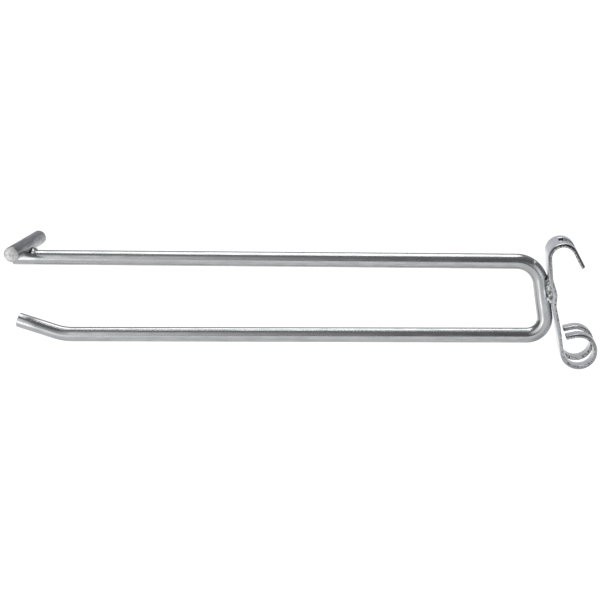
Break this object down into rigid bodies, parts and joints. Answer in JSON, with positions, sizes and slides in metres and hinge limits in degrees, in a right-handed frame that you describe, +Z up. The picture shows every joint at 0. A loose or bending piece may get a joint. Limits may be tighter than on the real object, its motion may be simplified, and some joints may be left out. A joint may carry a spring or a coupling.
{
  "type": "display hook",
  "caption": "Twin-arm wire display hook for shop rails: an upturned goods arm below, a label arm with a welded crossbar above, and a slotted strip clip that hooks over a rail.",
  "frame": {"origin": "centre of the clip's hook, where the rail lies, half way along the strip's width", "axes": "+X from the arms' tips to the clip, along the upper arm; +Y along the crossbar and the rail; +Z up, square to the upper arm. The clip's leg leans 8.5 degrees from Z, so with the leg upright the arms rise towards their tips."},
  "size_m": [0.2333, 0.036, 0.0496],
  "materials": {
    "zinc_wire": "bright zinc plate over smooth drawn wire",
    "zinc_crossbar": "bright zinc plate over rod with fine lengthwise grain and sawn ends",
    "zinc_strip": "satin zinc plate on the faces, dark rough sheared edges",
    "weld_metal": "rough plated weld bead"
  },
  "bodies": {
    "root": {"arm_wire": "zinc_wire", "crossbar": "zinc_crossbar", "rail_clip": "zinc_strip", "clip_weld_left": "weld_metal", "clip_weld_right": "weld_metal", "crossbar_weld_front": "weld_metal", "crossbar_weld_back": "weld_metal"}
  },
  "joints": []
}
